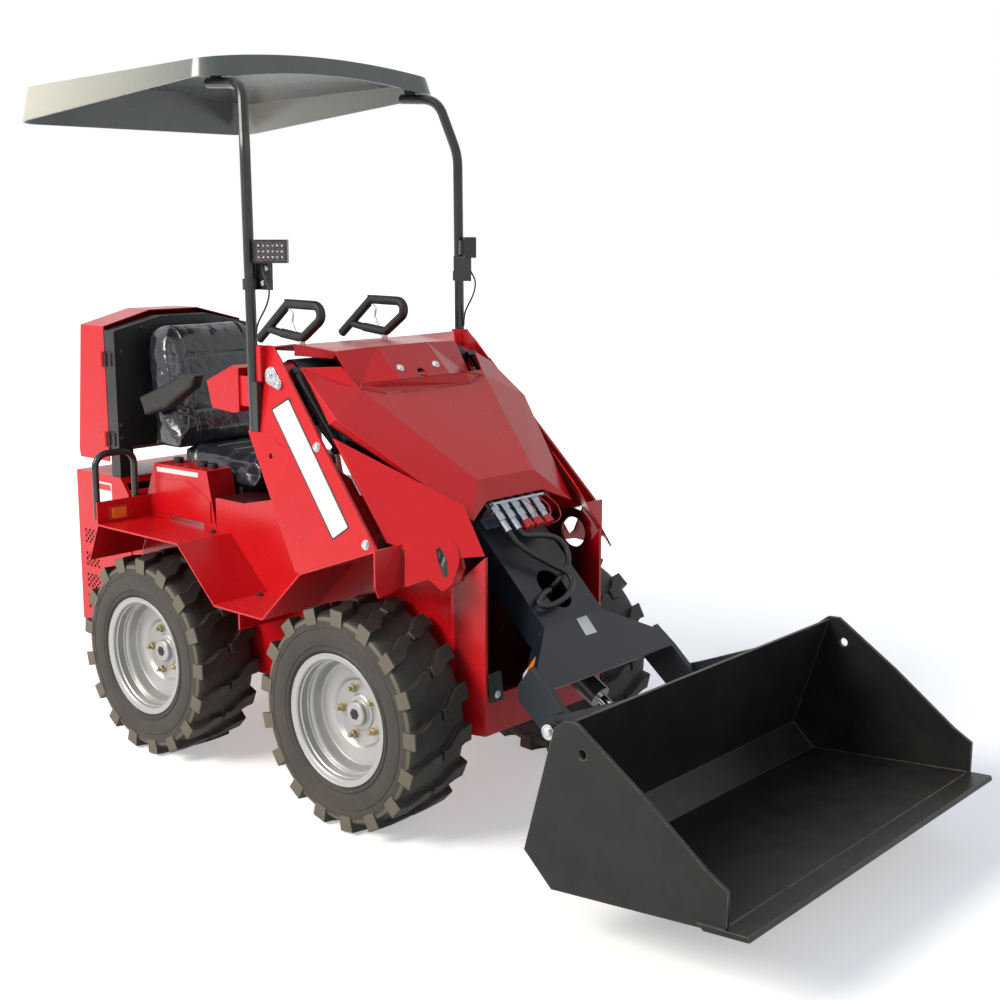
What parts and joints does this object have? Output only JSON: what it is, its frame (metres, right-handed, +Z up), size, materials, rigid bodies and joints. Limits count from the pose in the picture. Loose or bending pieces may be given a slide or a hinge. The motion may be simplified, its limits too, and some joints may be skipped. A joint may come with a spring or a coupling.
{
  "type": "skid steer loader",
  "caption": "Compact ride-on wheeled loader with a lift boom, tilting bucket, folded steps, seat, rear engine box and a post-carried sun roof.",
  "frame": {"origin": "on the ground under the middle of the wheelbase, on the centre plane", "axes": "+X forward to the bucket, +Y to the left, +Z up"},
  "size_m": [2.695, 1.098, 1.9387],
  "materials": {
    "tyre_rubber": "dusty",
    "galvanised": "galvanised",
    "red_paint": "gloss",
    "black_paint": "satin",
    "boom_paint": "satin",
    "engine_iron": "rough",
    "seat_vinyl": "vinyl",
    "black_plastic": "matte",
    "red_plastic": "matte",
    "black_foam": "foam",
    "zinc_steel": "zinc",
    "chrome_rod": "polished",
    "hose_rubber": "satin"
  },
  "bodies": {
    "chassis": {"armrests": "black_plastic", "axle_housings": "black_paint", "boom_pivot_pins": "zinc_steel", "canopy_posts": "black_paint", "canopy_roof": "black_paint", "chassis_tub": "red_paint", "control_handles": "black_foam", "cowls": "red_paint", "dash_panel": "red_paint", "engine_block": "engine_iron", "engine_box": "black_paint", "fenders": "red_paint", "front_fender_plates": "red_paint", "grab_loops": "black_paint", "lamp_cables": "hose_rubber", "lift_cylinder_stand": "black_paint", "rear_housing": "red_paint", "seat_back": "seat_vinyl", "seat_base": "black_paint", "seat_consoles": "red_paint", "seat_cushion": "seat_vinyl", "tower_consoles": "red_paint", "tower_sides": "red_paint", "work_lamps": "black_plastic"},
    "boom": {"boom_arm": "boom_paint", "boom_hood": "red_paint", "couplers": "zinc_steel", "coupler_caps": "red_plastic", "boom_hoses": "hose_rubber", "boom_sleeves": "hose_rubber"},
    "bucket": {"bucket": "boom_paint", "hitch_frame": "boom_paint"},
    "lift_barrel": {"lift_cylinder_barrel": "black_paint"},
    "lift_rod": {"lift_cylinder_rod": "chrome_rod"},
    "tilt_barrel": {"tilt_cylinder_barrel": "black_paint"},
    "tilt_rod": {"tilt_cylinder_rod": "chrome_rod"},
    "engine_cover": {"engine_cover": "red_paint"},
    "wheel_front_right": {"tyre_front_right": "tyre_rubber", "rim_front_right": "galvanised"},
    "wheel_front_left": {"tyre_front_left": "tyre_rubber", "rim_front_left": "galvanised"},
    "wheel_rear_right": {"tyre_rear_right": "tyre_rubber", "rim_rear_right": "galvanised"},
    "wheel_rear_left": {"tyre_rear_left": "tyre_rubber", "rim_rear_left": "galvanised"}
  },
  "joints": [
    {"name": "boom_lift", "type": "hinge", "parent": "chassis", "child": "boom", "pos_m": [0.092, 0, 1.115], "axis": [0, -1, 0], "range_deg": [-4, 65]},
    {"name": "bucket_tilt", "type": "hinge", "parent": "boom", "child": "bucket", "pos_m": [0.955, 0, 0.345], "axis": [0, 1, 0], "range_deg": [-25, 45]},
    {"name": "lift_barrel_swing", "type": "hinge", "parent": "chassis", "child": "lift_barrel", "pos_m": [0.053, 0, 0.424], "axis": [0, -1, 0], "range_deg": [-3, 0.3]},
    {"name": "lift_rod_slide", "type": "slide", "parent": "lift_barrel", "child": "lift_rod", "axis": [0.3526, 0, 0.9358], "range_m": [-0.018, 0.2895]},
    {"name": "tilt_barrel_swing", "type": "hinge", "parent": "boom", "child": "tilt_barrel", "pos_m": [0.64, 0, 0.471], "axis": [0, -1, 0], "range_deg": [-5, 2.8]},
    {"name": "tilt_rod_slide", "type": "slide", "parent": "tilt_barrel", "child": "tilt_rod", "axis": [0.8673, 0, -0.4978], "range_m": [-0.0506, 0.0282]},
    {"name": "engine_cover_hinge", "type": "hinge", "parent": "chassis", "child": "engine_cover", "pos_m": [-0.84, -0.268, 0.9], "axis": [0, 0, 1], "range_deg": [0, 100]},
    {"name": "spin_front_right", "type": "hinge", "parent": "chassis", "child": "wheel_front_right", "pos_m": [0.4085, -0.372, 0.288], "axis": [0, 1, 0], "continuous": true},
    {"name": "spin_front_left", "type": "hinge", "parent": "chassis", "child": "wheel_front_left", "pos_m": [0.4085, 0.372, 0.288], "axis": [0, 1, 0], "continuous": true},
    {"name": "spin_rear_right", "type": "hinge", "parent": "chassis", "child": "wheel_rear_right", "pos_m": [-0.4085, -0.372, 0.288], "axis": [0, 1, 0], "continuous": true},
    {"name": "spin_rear_left", "type": "hinge", "parent": "chassis", "child": "wheel_rear_left", "pos_m": [-0.4085, 0.372, 0.288], "axis": [0, 1, 0], "continuous": true}
  ],
  "couplings": [
    {"joint": "lift_barrel_swing", "follows": "boom_lift", "ratio": -0.04341},
    {"joint": "lift_rod_slide", "follows": "boom_lift", "m_per_rad": 0.25493},
    {"joint": "tilt_barrel_swing", "follows": "bucket_tilt", "ratio": -0.10946},
    {"joint": "tilt_rod_slide", "follows": "bucket_tilt", "m_per_rad": -0.06421}
  ]
}
